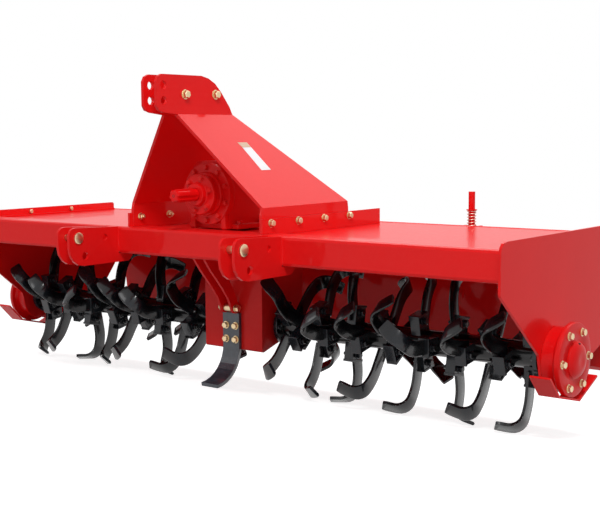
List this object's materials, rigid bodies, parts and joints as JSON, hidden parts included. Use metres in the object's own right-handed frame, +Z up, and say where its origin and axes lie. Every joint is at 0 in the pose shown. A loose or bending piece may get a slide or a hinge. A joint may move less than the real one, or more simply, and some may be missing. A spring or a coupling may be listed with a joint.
{
  "type": "tractor-mounted rotary tiller",
  "caption": "Red rotary tiller for a tractor's three-point hitch, with a central gearbox, black bladed rotor, centre tine and sprung trailing board.",
  "frame": {"origin": "centre of the footprint, on the floor that the machine stands on", "axes": "+X along the rotor towards the machine's left, -Y towards the tractor, +Z up; the machine leans 11 degrees forward as it parks"},
  "size_m": [2.3346, 1.0866, 0.9537],
  "materials": {
    "red_paint": "gloss",
    "black_paint": "gloss",
    "tine_steel": "gloss",
    "zinc": "satin",
    "spring_steel": "satin"
  },
  "bodies": {
    "frame": {"front_beam": "red_paint", "end_plate_left": "red_paint", "end_plate_right": "red_paint", "hood_edge_angle_left": "red_paint", "hood_edge_angle_right": "red_paint", "hood_sheet": "red_paint", "rear_bar": "red_paint", "final_drive_case": "red_paint", "gearbox_housing": "red_paint", "input_bearing_cap": "red_paint", "mast_plate_left": "red_paint", "mast_plate_right": "red_paint", "mast_rail_left": "red_paint", "mast_rail_right": "red_paint", "hitch_plate_left_outer": "red_paint", "hitch_plate_left_inner": "red_paint", "hitch_plate_right_outer": "red_paint", "hitch_plate_right_inner": "red_paint", "tine_arm_left": "red_paint", "tine_arm_right": "red_paint", "end_bearing_left": "red_paint", "end_bearing_right": "red_paint", "bearing_cap_left": "red_paint", "bearing_cap_right": "red_paint", "skid_shoe_left": "red_paint", "skid_shoe_right": "red_paint", "board_hinge_rod": "red_paint", "rod_bracket_left": "red_paint", "rod_bracket_right": "red_paint", "mast_tie_bolt_front": "zinc", "mast_tie_bolt_rear": "zinc", "hitch_pin_left": "zinc", "hitch_pin_right": "zinc", "centre_tine": "tine_steel"},
    "rotor": {"rotor_left": "black_paint", "rotor_right": "black_paint"},
    "input": {"input_shaft": "red_paint"},
    "board": {"trailing_board": "red_paint"},
    "rod_guides": {"rod_guide_left": "red_paint", "rod_guide_right": "red_paint", "rod_spring_left": "spring_steel", "rod_spring_right": "spring_steel"},
    "pressure_rods": {"pressure_rod_left": "red_paint", "pressure_rod_right": "red_paint"}
  },
  "joints": [
    {"name": "rotor_spin", "type": "hinge", "parent": "frame", "child": "rotor", "pos_m": [0, 0.06037, 0.225], "axis": [1, 0, 0], "continuous": true},
    {"name": "input_spin", "type": "hinge", "parent": "frame", "child": "input", "pos_m": [0, -0.21995, 0.61044], "axis": [0, -0.9809, -0.1945], "continuous": true},
    {"name": "board_swing", "type": "hinge", "parent": "frame", "child": "board", "pos_m": [0, 0.40355, 0.56627], "axis": [1, 0, 0], "range_deg": [0, 35]},
    {"name": "guide_swing", "type": "hinge", "parent": "frame", "child": "rod_guides", "pos_m": [0, 0.44989, 0.59992], "axis": [1, 0, 0], "range_deg": [0, 34]},
    {"name": "rod_slide", "type": "slide", "parent": "rod_guides", "child": "pressure_rods", "axis": [0, -0.1945, 0.9809], "range_m": [0, 0.035]}
  ],
  "couplings": [
    {"joint": "input_spin", "follows": "rotor_spin", "ratio": 2.35},
    {"joint": "guide_swing", "follows": "board_swing", "ratio": 0.955},
    {"joint": "rod_slide", "follows": "board_swing", "m_per_rad": 0.0558}
  ]
}
